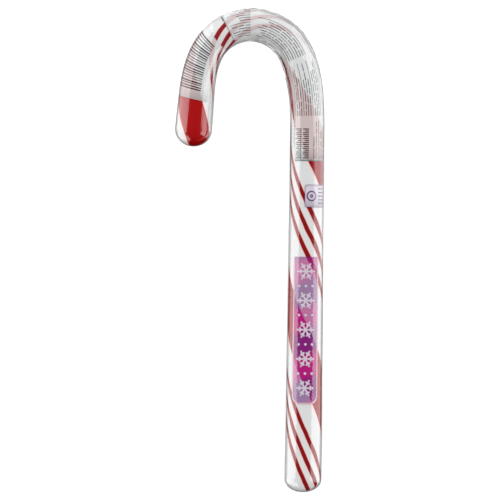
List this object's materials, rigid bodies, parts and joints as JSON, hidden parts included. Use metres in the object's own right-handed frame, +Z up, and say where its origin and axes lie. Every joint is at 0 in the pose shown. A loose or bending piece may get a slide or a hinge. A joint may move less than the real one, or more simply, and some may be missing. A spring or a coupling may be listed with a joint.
{
  "type": "candy cane",
  "caption": "Candy cane in a tight clear printed film, lying on its side: straight leg, crook with a rounded tip, and a twist of red and white stripes.",
  "frame": {"origin": "middle of the cane's footprint, on the surface that it lies on", "axes": "+Y along the leg towards the crook, +X to the leg's side, +Z up from the surface through the shown side"},
  "size_m": [0.0434, 0.1404, 0.0107],
  "materials": {
    "candy": "hard glossy pulled sugar, white with red stripes",
    "film": "clear glossy film, drawn tight",
    "print": "ink on the inside of clear glossy film"
  },
  "bodies": {
    "root": {"wrapped_cane": "candy"}
  },
  "joints": []
}
